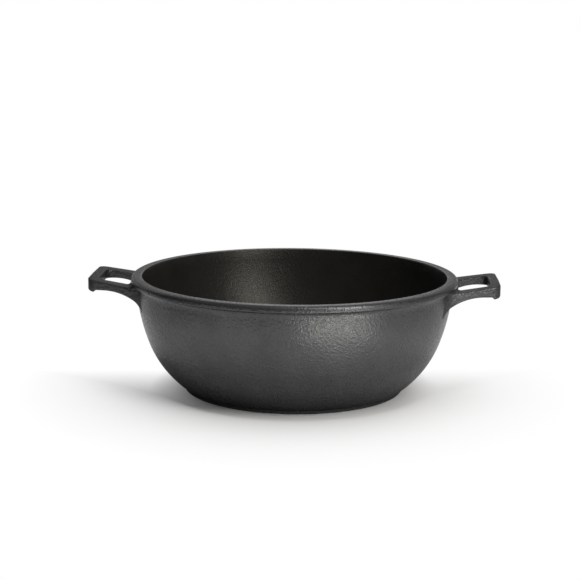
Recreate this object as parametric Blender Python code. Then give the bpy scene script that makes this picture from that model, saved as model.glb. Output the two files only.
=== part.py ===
"""Deep two-handled cast saute pan with a round wall, a rim band and a steel plate set in its base.

Units are metres. The base rests on z = 0 with its centre at the origin, the handles point
along +X and -X, and the mouth opens towards +Z.
"""
import math

import bmesh
import bpy
from mathutils import Vector

# Rim and band
RIM_RADIUS = 0.140
BOWL_HEIGHT = 0.0985
RIM_WIDTH = 0.0097
RIM_OUTER_ROUND = 0.0020
RIM_INNER_ROUND = 0.0011
BAND_HEIGHT = 0.0050
BAND_OVERHANG = 0.0043
BAND_LOWER_ROUND = 0.0010
COVE_RADIUS = 0.0028

# Wall, floor and foot
WALL_THICKNESS = 0.0056
WALL_TOP_LEAN = math.radians(2.9)
WALL_FOOT_LEAN = math.radians(54.0)
FLOOR_THICKNESS = 0.0070
FLOOR_FILLET = 0.030
FOOT_RADIUS = 0.0945
FOOT_STEP = 0.0011
FOOT_HEIGHT = 0.0030
FOOT_ROUND = 0.0008

# Steel plate in the base, held by studs of the casting that fill its holes
PLATE_RADIUS = 0.070
PLATE_THICKNESS = 0.0010
HOLE_RADIUS = 0.0022
HOLE_PITCH = 0.0148
HOLE_RINGS = 4

# Handles, each a loop of two arms and an outer bar with a lip under it
HANDLE_REACH = 0.0348
HANDLE_BOW = 0.0006
ARM_ROOT_HALF_WIDTH = 0.0380
ARM_TIP_HALF_WIDTH = 0.0333
HANDLE_CORNER = 0.0095
GRIP_HALF_WIDTH = 0.0234
GRIP_CORNER = 0.0050
GRIP_ROOT_CORNER = 0.0022
BAR_WIDTH = 0.0082
LIP_WIDTH = 0.0056
LIP_RAMP = 0.0024
LIP_DROP = 0.0019
LIP_ROUND = 0.0038
HANDLE_TOP_DROP = 0.0070
HANDLE_TOP_RISE = 0.168
ARM_THICKNESS = 0.0070
ARM_FLAT_LENGTH = 0.0150
ARM_UNDER_RADIUS = 0.047
ARM_UNDER_TURN = math.radians(50)
ROOT_FLARE_RADIUS = 0.0075
ROOT_FLARE_INSET = 0.0007
ROOT_FLARE_LENGTH = 0.0085
STOCK_DEPTH = 0.0080
HANDLE_EDGE_ROUND = 0.0015

# Gap between pieces that seat on each other
CLEARANCE = 0.0003

# Facets
RING_STEPS = 72
STUD_STEPS = 8
WALL_STEP = math.radians(6.5)
FILLET_STEP = math.radians(10)
EDGE_STEP = math.radians(33)
SMALL_EDGE_STEP = math.radians(46)
FLARE_STEPS = 3
ARM_STEPS = 7
BEND_STEPS = 6
BAR_STEPS = 2
ROUND_STEPS = 2
SMOOTH_ANGLE = math.radians(50)
MERGE_DISTANCE = 1e-6
MEETING_ROUNDS = 8

RIM_INNER_RADIUS = RIM_RADIUS - RIM_WIDTH
BAND_UNDERSIDE = BOWL_HEIGHT - BAND_HEIGHT
WALL_TOP = Vector((RIM_RADIUS - BAND_OVERHANG,
                   BAND_UNDERSIDE - COVE_RADIUS * (1 - math.sin(WALL_TOP_LEAN))))
WALL_BOTTOM = Vector((FOOT_RADIUS + FOOT_STEP, FOOT_HEIGHT))


def down_the_wall(lean):
    """Unit vector in the (radius, height) plane that runs down a wall of this lean."""
    return Vector((-math.sin(lean), -math.cos(lean)))


def polar(centre, radius, angle):
    """Point on a circle of the (radius, height) plane."""
    return centre + radius * Vector((math.cos(angle), math.sin(angle)))


def arc(centre, radius, start, stop, step=WALL_STEP):
    """Points along an arc, both ends included, no further apart than one step."""
    count = max(1, math.ceil(abs(stop - start) / step - 1e-6))
    return [polar(centre, radius, start + (stop - start) * i / count) for i in range(count + 1)]


def wall_arcs():
    """The two arcs, tangent to each other, that join the wall's top to the foot.

    Each is (centre, radius, lean at its top, lean at its bottom) of the outer face.
    """
    leave = down_the_wall(WALL_TOP_LEAN)
    arrive = down_the_wall(WALL_FOOT_LEAN)
    span = WALL_BOTTOM - WALL_TOP
    along = span.dot(leave + arrive)
    turn = 2 * (1 - leave.dot(arrive))
    reach = (math.sqrt(along * along + turn * span.dot(span)) - along) / turn
    chord = (WALL_BOTTOM - reach * arrive) - (WALL_TOP + reach * leave)
    mid_lean = math.atan2(-chord.x, -chord.y)
    arcs = []
    for point, top_lean, foot_lean, own_lean in (
            (WALL_TOP, WALL_TOP_LEAN, mid_lean, WALL_TOP_LEAN),
            (WALL_BOTTOM, mid_lean, WALL_FOOT_LEAN, WALL_FOOT_LEAN)):
        radius = reach / math.tan((foot_lean - top_lean) / 2)
        arcs.append((polar(point, -radius, -own_lean), radius, top_lean, foot_lean))
    return arcs


def wall_radius(height, grow=0.0):
    """Outer radius of the wall at a height between the foot and the band."""
    for centre, radius, _, foot_lean in wall_arcs():
        radius += grow
        if height >= centre.y - radius * math.sin(foot_lean):
            break
    return centre.x + math.sqrt(radius * radius - (height - centre.y) ** 2)


def outer_line(grow):
    """The bowl's outside, from the top of the foot to the flat of the rim, grown by a gap."""
    upper, lower = wall_arcs()
    points = []
    for centre, radius, top_lean, foot_lean in (lower, upper):
        points += arc(centre, radius + grow, -foot_lean, -top_lean)
    cove_centre = polar(WALL_TOP, COVE_RADIUS, -WALL_TOP_LEAN)
    points += arc(cove_centre, COVE_RADIUS - grow, math.pi - WALL_TOP_LEAN, math.pi / 2, EDGE_STEP)
    low_edge = Vector((RIM_RADIUS - BAND_LOWER_ROUND, BAND_UNDERSIDE + BAND_LOWER_ROUND))
    points += arc(low_edge, BAND_LOWER_ROUND + grow, -math.pi / 2, 0.0, SMALL_EDGE_STEP)
    top_edge = Vector((RIM_RADIUS - RIM_OUTER_ROUND, BOWL_HEIGHT - RIM_OUTER_ROUND))
    points += arc(top_edge, RIM_OUTER_ROUND + grow, 0.0, math.pi / 2, EDGE_STEP)
    return without_repeats(points)


def inner_line():
    """The bowl's inside, from the flat of the rim down to the edge of the flat floor."""
    upper, lower = wall_arcs()
    edge = Vector((RIM_INNER_RADIUS + RIM_INNER_ROUND, BOWL_HEIGHT - RIM_INNER_ROUND))
    points = arc(edge, RIM_INNER_ROUND, math.pi / 2, math.pi, SMALL_EDGE_STEP)
    centre, radius, top_lean, foot_lean = upper
    points += arc(centre, radius - WALL_THICKNESS, -top_lean, -foot_lean)
    centre, radius, top_lean, _ = lower
    radius -= WALL_THICKNESS
    fillet_height = FLOOR_THICKNESS + FLOOR_FILLET
    rise = centre.y - fillet_height
    side = math.sqrt((radius - FLOOR_FILLET) ** 2 - rise * rise)
    fillet = Vector((centre.x + side, fillet_height))
    meet = math.atan2(-rise, side)
    points += arc(centre, radius, -top_lean, meet)
    points += arc(fillet, FLOOR_FILLET, meet, -math.pi / 2, FILLET_STEP)
    return without_repeats(points)


def without_repeats(points):
    """The same points, with each that falls on the one before it left out."""
    kept = [points[0]]
    for point in points[1:]:
        if (point - kept[-1]).length > MERGE_DISTANCE:
            kept.append(point)
    return kept


def fillet(before, corner, after, radius, steps):
    """Points of the arc that rounds one corner of a path, both ends included."""
    back = (before - corner).normalized()
    onward = (after - corner).normalized()
    half = back.angle(onward) / 2
    centre = corner + (back + onward).normalized() * (radius / math.sin(half))
    start = corner + back * (radius / math.tan(half)) - centre
    stop = corner + onward * (radius / math.tan(half)) - centre
    first = math.atan2(start.y, start.x)
    turn = start.angle_signed(stop)
    return [polar(centre, radius, first - turn * i / steps) for i in range(steps + 1)]


def clear_scene():
    """Remove every object of the scene."""
    for obj in list(bpy.data.objects):
        bpy.data.objects.remove(obj, do_unlink=True)


def finish(name, colour, roughness, metallic):
    """Plain material with a colour, a roughness and a metallic value."""
    material = bpy.data.materials.new(name)
    material.use_nodes = True
    shader = material.node_tree.nodes["Principled BSDF"]
    shader.inputs["Base Color"].default_value = (*colour, 1.0)
    shader.inputs["Roughness"].default_value = roughness
    shader.inputs["Metallic"].default_value = metallic
    return material


def to_object(name, shape):
    """Put a bmesh in the scene as an object and free it."""
    bmesh.ops.recalc_face_normals(shape, faces=shape.faces)
    mesh = bpy.data.meshes.new(name)
    shape.to_mesh(mesh)
    shape.free()
    obj = bpy.data.objects.new(name, mesh)
    bpy.context.scene.collection.objects.link(obj)
    return obj


def turned(name, line):
    """Solid of revolution about Z: the line is spun, and the discs at its two ends are filled."""
    shape = bmesh.new()
    verts = [shape.verts.new((point.x, 0.0, point.y)) for point in line]
    edges = [shape.edges.new(pair) for pair in zip(verts, verts[1:])]
    bmesh.ops.spin(shape, geom=verts + edges, cent=(0, 0, 0), axis=(0, 0, 1),
                   angle=math.tau, steps=RING_STEPS)
    bmesh.ops.remove_doubles(shape, verts=shape.verts, dist=MERGE_DISTANCE)
    rings = [edge for edge in shape.edges if edge.is_boundary]
    bmesh.ops.holes_fill(shape, edges=rings, sides=0)
    return to_object(name, shape)


def lofted(name, sections):
    """Solid through a row of closed sections, each a list of as many points."""
    shape = bmesh.new()
    rings = [[shape.verts.new(point) for point in section] for section in sections]
    for ring, following in zip(rings, rings[1:]):
        for i in range(len(ring)):
            shape.faces.new((ring[i - 1], ring[i], following[i], following[i - 1]))
    shape.faces.new(rings[0])
    shape.faces.new(rings[-1])
    return to_object(name, shape)


def posts(name, radius, bottom, top):
    """Round posts at every hole of the steel plate, as separate shells of one object."""
    shape = bmesh.new()
    for x, y in hole_places():
        added = bmesh.ops.create_cone(shape, cap_ends=True, segments=STUD_STEPS,
                                      radius1=radius, radius2=radius, depth=top - bottom)
        bmesh.ops.translate(shape, verts=added["verts"], vec=(x, y, (top + bottom) / 2))
    return to_object(name, shape)


def hole_places():
    """Centres of the plate's holes: one in the middle and rings of six, twelve and so on."""
    places = [(0.0, 0.0)]
    for ring in range(1, HOLE_RINGS + 1):
        for i in range(6 * ring):
            angle = math.tau * i / (6 * ring)
            places.append((ring * HOLE_PITCH * math.cos(angle), ring * HOLE_PITCH * math.sin(angle)))
    return places


def combine(target, tool, operation):
    """Boolean modifier that joins, cuts or crosses a target with a hidden tool."""
    tool.hide_render = True
    tool.display_type = "WIRE"
    step = target.modifiers.new(f"{operation.lower()} {tool.name}", "BOOLEAN")
    step.operation = operation
    step.object = tool
    step.solver = "MANIFOLD"


def freeze(obj, tools):
    """Keep what an object's modifiers make of its mesh, and remove the tools they used."""
    depsgraph = bpy.context.evaluated_depsgraph_get()
    mesh = bpy.data.meshes.new_from_object(obj.evaluated_get(depsgraph))
    obj.modifiers.clear()
    obj.data = mesh
    mesh.name = obj.name
    for tool in tools:
        bpy.data.objects.remove(tool, do_unlink=True)


def dress(obj, material):
    """Give an object its material, and smooth shading between its rounded facets."""
    obj.data.materials.clear()
    obj.data.materials.append(material)
    obj.data.shade_smooth()
    obj.data.set_sharp_from_angle(angle=SMOOTH_ANGLE)


def build_bowl(material):
    """The casting: floor, round wall, rim band and foot, with a seat and studs for the plate."""
    seat_ceiling = PLATE_THICKNESS + CLEARANCE
    seat_radius = PLATE_RADIUS + CLEARANCE
    foot_edge = Vector((FOOT_RADIUS - FOOT_ROUND, FOOT_ROUND))
    line = [Vector((seat_radius, seat_ceiling)), Vector((seat_radius, 0.0))]
    line += arc(foot_edge, FOOT_ROUND, -math.pi / 2, 0.0, SMALL_EDGE_STEP)
    line.append(Vector((FOOT_RADIUS, FOOT_HEIGHT)))
    bowl = turned("bowl", line + outer_line(0.0) + inner_line())
    studs = posts("bowl_studs", HOLE_RADIUS - CLEARANCE, 0.0, seat_ceiling + PLATE_THICKNESS)
    combine(bowl, studs, "UNION")
    freeze(bowl, [studs])
    dress(bowl, material)
    return bowl


def build_plate(material):
    """The steel disc that seats flush in the base, with a hole round each stud."""
    edge = [Vector((PLATE_RADIUS, 0.0)), Vector((PLATE_RADIUS, PLATE_THICKNESS))]
    plate = turned("induction_plate", edge)
    drills = posts("plate_drills", HOLE_RADIUS, -PLATE_THICKNESS, 2 * PLATE_THICKNESS)
    combine(plate, drills, "DIFFERENCE")
    freeze(plate, [drills])
    dress(plate, material)
    return plate


def wall_x(radius, y):
    """Where a round of this radius passes a given y, on the +X side."""
    return math.sqrt(radius * radius - y * y)


def plan_line(start, root, root_round, corner, corner_round, end):
    """Plan of one side of an arm and of the bar, from inside the wall to the bar's middle."""
    flare = fillet(start, root, corner, root_round, FLARE_STEPS)
    bend = fillet(root, corner, end, corner_round, BEND_STEPS)
    arm = [flare[-1].lerp(bend[0], i / ARM_STEPS) for i in range(1, ARM_STEPS)]
    bar = [bend[-1].lerp(end, i / BAR_STEPS) for i in range(1, BAR_STEPS + 1)]
    return [start - Vector((STOCK_DEPTH, 0.0)), start] + flare + arm + bend + bar


def outer_plan():
    """Outer side of the handle's +Y half, which flares along the wall where it meets it."""
    tip = RIM_RADIUS + HANDLE_REACH
    taper = (ARM_ROOT_HALF_WIDTH - ARM_TIP_HALF_WIDTH) / HANDLE_REACH
    circle = root_circle()
    root = Vector((circle, ARM_ROOT_HALF_WIDTH))
    for _ in range(MEETING_ROUNDS):
        root.x = wall_x(circle, root.y)
        root.y = ARM_ROOT_HALF_WIDTH + taper * (RIM_RADIUS - root.x)
    along_wall = Vector((-root.y, root.x)).normalized()
    return plan_line(root + along_wall * ROOT_FLARE_LENGTH, root, ROOT_FLARE_RADIUS,
                     Vector((tip - HANDLE_BOW, ARM_TIP_HALF_WIDTH)), HANDLE_CORNER,
                     Vector((tip, 0.0)))


def inner_plan():
    """Inner side of the handle's +Y half, round the finger opening."""
    bar_x = RIM_RADIUS + HANDLE_REACH - BAR_WIDTH
    root_x = wall_x(root_circle(), GRIP_HALF_WIDTH)
    root = Vector((root_x, GRIP_HALF_WIDTH))
    return plan_line(root - Vector((0.0, 2 * GRIP_ROOT_CORNER)), root, GRIP_ROOT_CORNER,
                     Vector((bar_x, GRIP_HALF_WIDTH)), GRIP_CORNER, Vector((bar_x, 0.0)))


def handle_top(x):
    """Height of a handle's top face, which rises outwards from just under the band."""
    return BOWL_HEIGHT - HANDLE_TOP_DROP + HANDLE_TOP_RISE * (x - RIM_RADIUS)


def arm_under(x):
    """Height of an arm's underside: flat near the bar, then an arc and a slope to the wall."""
    flat_start = RIM_RADIUS + HANDLE_REACH - ARM_FLAT_LENGTH
    level = handle_top(flat_start) - ARM_THICKNESS
    inward = max(0.0, flat_start - x)
    bent = min(inward, ARM_UNDER_RADIUS * math.sin(ARM_UNDER_TURN))
    drop = ARM_UNDER_RADIUS - math.sqrt(ARM_UNDER_RADIUS ** 2 - bent ** 2)
    return level - drop - (inward - bent) * math.tan(ARM_UNDER_TURN)


def root_circle():
    """Radius just inside the wall where a handle's flare ends and its underside is lowest."""
    height = BAND_UNDERSIDE
    for _ in range(MEETING_ROUNDS):
        x = wall_x(wall_radius(height), ARM_ROOT_HALF_WIDTH + ROOT_FLARE_LENGTH)
        height = arm_under(x)
    return wall_radius(height) - ROOT_FLARE_INSET


def underside(x):
    """Height of a handle's underside, with the lip that hangs below the bar."""
    down = (x - RIM_RADIUS - HANDLE_REACH + LIP_WIDTH + LIP_RAMP) / LIP_RAMP
    return arm_under(x) - LIP_DROP * min(1.0, max(0.0, down))


def handle_section(inner, outer):
    """Closed section of a handle, from its inner side out along the bottom and back on top."""
    width = (outer - inner).length
    bar_start = RIM_RADIUS + HANDLE_REACH - BAR_WIDTH
    share = min(1.0, max(0.0, (outer.x - bar_start) / BAR_WIDTH))
    low_round = HANDLE_EDGE_ROUND + share * (LIP_ROUND - HANDLE_EDGE_ROUND)
    points = []

    def add(inward, rise, height):
        place = inner.lerp(outer, inward / width)
        points.append(Vector((place.x, place.y, height(place.x) + rise)))

    bends = [i * math.pi / 2 / ROUND_STEPS for i in range(ROUND_STEPS + 1)]
    edge = HANDLE_EDGE_ROUND
    for bend in bends:
        add(edge * (1 - math.cos(bend)), edge * (1 - math.sin(bend)), underside)
    add(BAR_WIDTH - LIP_WIDTH, 0.0, underside)
    for bend in bends:
        add(width - low_round * (1 - math.sin(bend)), low_round * (1 - math.cos(bend)), underside)
    for bend in bends:
        add(width - edge * (1 - math.cos(bend)), -edge * (1 - math.sin(bend)), handle_top)
    for bend in bends:
        add(edge * (1 - math.sin(bend)), -edge * (1 - math.cos(bend)), handle_top)
    return points


def build_handle(name, material):
    """The handle on +X, cut to a saddle that seats on the wall and the band."""
    half = [handle_section(inner, outer) for inner, outer in zip(inner_plan(), outer_plan())]
    other = [[Vector((p.x, -p.y, p.z)) for p in section] for section in reversed(half[:-1])]
    handle = lofted(name, half + other)
    saddle = turned("handle_saddle", outer_line(CLEARANCE))
    combine(handle, saddle, "DIFFERENCE")
    freeze(handle, [saddle])
    dress(handle, material)
    return handle


def turn_copy(obj, name):
    """A copy of a handle, sharing its mesh, on the other side of the pan."""
    twin = obj.copy()
    twin.name = name
    twin.rotation_euler.z = math.pi
    bpy.context.scene.collection.objects.link(twin)
    return twin


def main():
    """Build the pan's four pieces under one empty."""
    clear_scene()
    casting = finish("dark_cast_coat", (0.060, 0.060, 0.063), 0.55, 0.0)
    handle_casting = finish("dark_handle_coat", (0.066, 0.066, 0.069), 0.50, 0.0)
    steel = finish("turned_steel", (0.42, 0.42, 0.43), 0.32, 1.0)
    pan = bpy.data.objects.new("pan", None)
    bpy.context.scene.collection.objects.link(pan)
    right_handle = build_handle("right_handle", handle_casting)
    left_handle = turn_copy(right_handle, "left_handle")
    pieces = [build_bowl(casting), build_plate(steel), right_handle, left_handle]
    for piece in pieces:
        piece.parent = pan


main()
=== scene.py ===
"""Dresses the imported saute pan.

The cast bowl, its two loop handles and the steel plate in its base are modelled finely where the
solids of the frame stand, and get a dark grained coat, a darker lining and turned metal.
"""
import logging
import math
from collections.abc import Callable
from dataclasses import dataclass, field
from enum import Enum

import bpy
from mathutils import Matrix, Vector

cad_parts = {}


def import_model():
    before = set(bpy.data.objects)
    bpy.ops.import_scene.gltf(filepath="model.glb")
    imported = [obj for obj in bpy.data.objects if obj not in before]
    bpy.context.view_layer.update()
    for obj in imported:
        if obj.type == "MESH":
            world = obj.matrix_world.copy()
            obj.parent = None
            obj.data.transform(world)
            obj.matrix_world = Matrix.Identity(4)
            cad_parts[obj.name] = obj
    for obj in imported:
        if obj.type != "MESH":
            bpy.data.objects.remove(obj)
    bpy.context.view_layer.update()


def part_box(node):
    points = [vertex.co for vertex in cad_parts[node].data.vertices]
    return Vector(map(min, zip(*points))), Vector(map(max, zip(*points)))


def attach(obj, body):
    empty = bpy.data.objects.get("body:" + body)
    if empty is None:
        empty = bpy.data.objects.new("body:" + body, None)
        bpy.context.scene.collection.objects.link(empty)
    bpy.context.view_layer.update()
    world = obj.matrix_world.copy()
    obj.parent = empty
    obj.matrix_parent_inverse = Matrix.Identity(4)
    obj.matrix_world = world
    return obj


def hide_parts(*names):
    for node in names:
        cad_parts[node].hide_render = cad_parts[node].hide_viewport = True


Triple = tuple[float, float, float]
Mark = tuple[float, float, float, float]

LOG = logging.getLogger("saute_pan")
MERGE_DISTANCE = 1e-6
QUARTER = math.pi / 2
START_SIZE = 0.01
SMOOTH_METAL = math.radians(30)
WHITE = (1.0, 1.0, 1.0)


class Side(Enum):
    """The side of the pan a handle stands on, as the sign of its X."""

    LEFT = -1
    RIGHT = 1


class Skin(Enum):
    """Places on the casting that are finished differently, in the order of its slots."""

    COAT = 0
    LINING = 1
    LAND = 2


# ---- Modelling helpers


def deselect_all() -> None:
    """Leave nothing selected, with no object in edit mode."""
    if bpy.context.object and bpy.context.object.mode != "OBJECT":
        bpy.ops.object.mode_set(mode="OBJECT")
    bpy.ops.object.select_all(action="DESELECT")


def begin(name: str, add: Callable[..., set[str]], **sizes: object) -> bpy.types.Object:
    """Add a primitive at its size and place, as the only selected object.

    Args:
        name: Name of the new piece and of its mesh.
        add: The operator that adds the primitive.
        sizes: What the operator is given.

    Returns:
        The new object.
    """
    deselect_all()
    add(**sizes)
    piece = bpy.context.object
    piece.name = name
    piece.data.name = name
    return piece


def draw(name: str, points: list[Vector]) -> bpy.types.Object:
    """Draw a line by extrusion, and leave it in edit mode with all of it selected.

    Args:
        name: Name of the new piece.
        points: The line's points in space.

    Returns:
        The new object.
    """
    piece = begin(name, bpy.ops.mesh.primitive_plane_add, size=START_SIZE)
    bpy.ops.object.mode_set(mode="EDIT")
    bpy.ops.mesh.select_all(action="SELECT")
    bpy.ops.mesh.merge(type="CENTER")
    bpy.ops.transform.translate(value=tuple(points[0]))
    for before, after in zip(points, points[1:]):
        step = tuple(after - before)
        bpy.ops.mesh.extrude_region_move(TRANSFORM_OT_translate={"value": step})
    bpy.ops.mesh.select_all(action="SELECT")
    return piece


def join(piece: bpy.types.Object, others: list[bpy.types.Object]) -> None:
    """Join other objects into a piece.

    Args:
        piece: The object that takes the others in.
        others: The objects that become part of it.
    """
    deselect_all()
    for item in (*others, piece):
        item.select_set(True)
    bpy.context.view_layer.objects.active = piece
    bpy.ops.object.join()


def close_up() -> None:
    """Merge doubles of the piece in edit mode, turn its faces outwards and leave edit mode."""
    bpy.ops.mesh.select_all(action="SELECT")
    bpy.ops.mesh.remove_doubles(threshold=MERGE_DISTANCE)
    bpy.ops.mesh.normals_make_consistent(inside=False)
    bpy.ops.object.mode_set(mode="OBJECT")


def settle(piece: bpy.types.Object, smooth_angle: float) -> None:
    """Put a piece's place into its mesh and shade it smooth.

    Args:
        piece: The finished piece.
        smooth_angle: The angle between faces up to which it is smooth.
    """
    deselect_all()
    piece.select_set(True)
    bpy.context.view_layer.objects.active = piece
    bpy.ops.object.transform_apply(location=True, rotation=True, scale=True)
    bpy.ops.object.shade_smooth_by_angle(angle=smooth_angle)


def on_frame(piece: bpy.types.Object, nodes: tuple[str, ...] = ()) -> None:
    """Ride a piece on the pan's one body, hide the CAD parts that it replaces and log its faces.

    Args:
        piece: The finished piece.
        nodes: The CAD nodes that it replaces.
    """
    if nodes:
        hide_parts(*nodes)
    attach(piece, "root")
    LOG.info("%s: %d faces", piece.name, len(piece.data.polygons))


def polar(centre: Vector, radius: float, angle: float) -> Vector:
    """Point on a circle of a plane."""
    return centre + radius * Vector((math.cos(angle), math.sin(angle)))


def arc(centre: Vector, radius: float, start: float, stop: float, count: int) -> list[Vector]:
    """Evenly spaced points along an arc, both ends included.

    Args:
        centre: The arc's centre.
        radius: Its radius.
        start: The angle at its first point.
        stop: The angle at its last point.
        count: How many steps it has.

    Returns:
        The points, one more than the steps.
    """
    return [polar(centre, radius, start + (stop - start) * i / count) for i in range(count + 1)]


def smooth_share(value: float) -> float:
    """Ease from 0 to 1, flat at both ends."""
    value = min(1.0, max(0.0, value))
    return value * value * (3 - 2 * value)


# ---- Shader helpers


class Board:
    """A node tree that is wired by short calls."""

    # Sockets of a Mix node that mixes colours: share, first, second and result.
    BLEND_INPUTS = (0, 6, 7)
    BLEND_OUTPUT = 2

    def __init__(self, tree: bpy.types.NodeTree) -> None:
        """Take a tree and empty it."""
        self.tree = tree
        tree.nodes.clear()

    def add(self, kind: str, **settings: object) -> bpy.types.Node:
        """Add a node.

        Args:
            kind: The node's type, without the word ShaderNode in front.
            settings: Its properties, or its inputs where no property has that name.

        Returns:
            The node.
        """
        node = self.tree.nodes.new("ShaderNode" + kind)
        for key, value in settings.items():
            if hasattr(node, key):
                setattr(node, key, value)
            else:
                self.feed(node, key.replace("_", " "), value)
        return node

    def feed(self, node: bpy.types.Node, name: str | int, value: object) -> None:
        """Give an input a value, or link it if the value is another node's output.

        Args:
            node: The node.
            name: The input's name or place.
            value: A plain value or an output.
        """
        socket = node.inputs[name]
        if isinstance(value, bpy.types.NodeSocket):
            self.tree.links.new(value, socket)
        else:
            socket.default_value = value

    def math(self, operation: str, *values: object) -> bpy.types.NodeSocket:
        """Arithmetic on numbers or outputs.

        Args:
            operation: The Math node's operation.
            values: Its inputs, in order.

        Returns:
            The result's output.
        """
        node = self.tree.nodes.new("ShaderNodeMath")
        node.operation = operation
        for i, value in enumerate(values):
            self.feed(node, i, value)
        return node.outputs[0]

    def blend(self, share: object, first: object, second: object) -> bpy.types.NodeSocket:
        """Mix two colours.

        Args:
            share: 0 for the first colour, 1 for the second.
            first: A colour or an output.
            second: A colour or an output.

        Returns:
            The mixed colour's output.
        """
        node = self.tree.nodes.new("ShaderNodeMix")
        node.data_type = "RGBA"
        for i, item in zip(self.BLEND_INPUTS, (share, first, second)):
            self.feed(node, i, item)
        return node.outputs[self.BLEND_OUTPUT]

    def mix(self, share: object, first: bpy.types.Node,
            second: bpy.types.Node) -> bpy.types.Node:
        """Mix two shaders.

        Args:
            share: 0 for the first shader, 1 for the second.
            first: A shader's node.
            second: A shader's node.

        Returns:
            The node of the mixed shader.
        """
        node = self.add("MixShader", Fac=share)
        self.feed(node, 1, first.outputs[0])
        self.feed(node, 2, second.outputs[0])
        return node

    def spread(self, value: object, low: float, high: float, to_low: float,
               to_high: float) -> bpy.types.NodeSocket:
        """Map a range onto another, with the ends held.

        Args:
            value: What is mapped.
            low: Start of its range.
            high: End of its range.
            to_low: What the start becomes.
            to_high: What the end becomes.

        Returns:
            The mapped value's output.
        """
        node = self.tree.nodes.new("ShaderNodeMapRange")
        for i, item in enumerate((value, low, high, to_low, to_high)):
            self.feed(node, i, item)
        return node.outputs[0]

    def place(self) -> bpy.types.NodeSocket:
        """Position on the piece, in metres."""
        return self.add("TexCoord").outputs["Object"]

    def noise(self, place: bpy.types.NodeSocket, scale: object, detail: float,
              roughness: float) -> bpy.types.NodeSocket:
        """Cloudy noise.

        Args:
            place: Where it is read.
            scale: Features in a metre.
            detail: How many finer layers it has.
            roughness: How strong they are.

        Returns:
            A value around 0.5.
        """
        node = self.add("TexNoise", Detail=detail, Roughness=roughness, Vector=place)
        self.feed(node, "Scale", scale)
        return node.outputs[0]

    def radius(self, parts: bpy.types.Node) -> bpy.types.NodeSocket:
        """Distance from the pan's middle line, of a place that is split into its parts.

        Args:
            parts: The node that splits the place.

        Returns:
            The distance's output.
        """
        squares = [self.math("POWER", parts.outputs[i], 2.0) for i in range(2)]
        return self.math("SQRT", self.math("ADD", *squares))

    def looked_at(self, path: bpy.types.Node) -> bpy.types.NodeSocket:
        """Whether the camera, a mirror image or a clear piece looks, and no light bounces.

        Args:
            path: The Light Path node.

        Returns:
            An output that is 1 where it is so.
        """
        seen = self.math("MAXIMUM", path.outputs["Is Camera Ray"], path.outputs["Is Glossy Ray"])
        return self.math("MAXIMUM", seen, path.outputs["Is Transmission Ray"])


def group(name: str, size: str, usual: float, outputs: tuple[str, ...]) -> tuple[
        bpy.types.ShaderNodeTree, Board, bpy.types.NodeSocket, bpy.types.Node]:
    """Start a shader node group with one named input and named outputs.

    Args:
        name: The group's name.
        size: The input's name.
        usual: The input's usual value.
        outputs: Each output's name.

    Returns:
        The tree, its board, what the input gives, and the output node.
    """
    tree = bpy.data.node_groups.new(name, "ShaderNodeTree")
    socket = tree.interface.new_socket(size, in_out="INPUT", socket_type="NodeSocketFloat")
    socket.default_value = usual
    for label in outputs:
        tree.interface.new_socket(label, in_out="OUTPUT", socket_type="NodeSocketFloat")
    board = Board(tree)
    given = tree.nodes.new("NodeGroupInput")
    return tree, board, given.outputs[0], tree.nodes.new("NodeGroupOutput")


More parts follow.
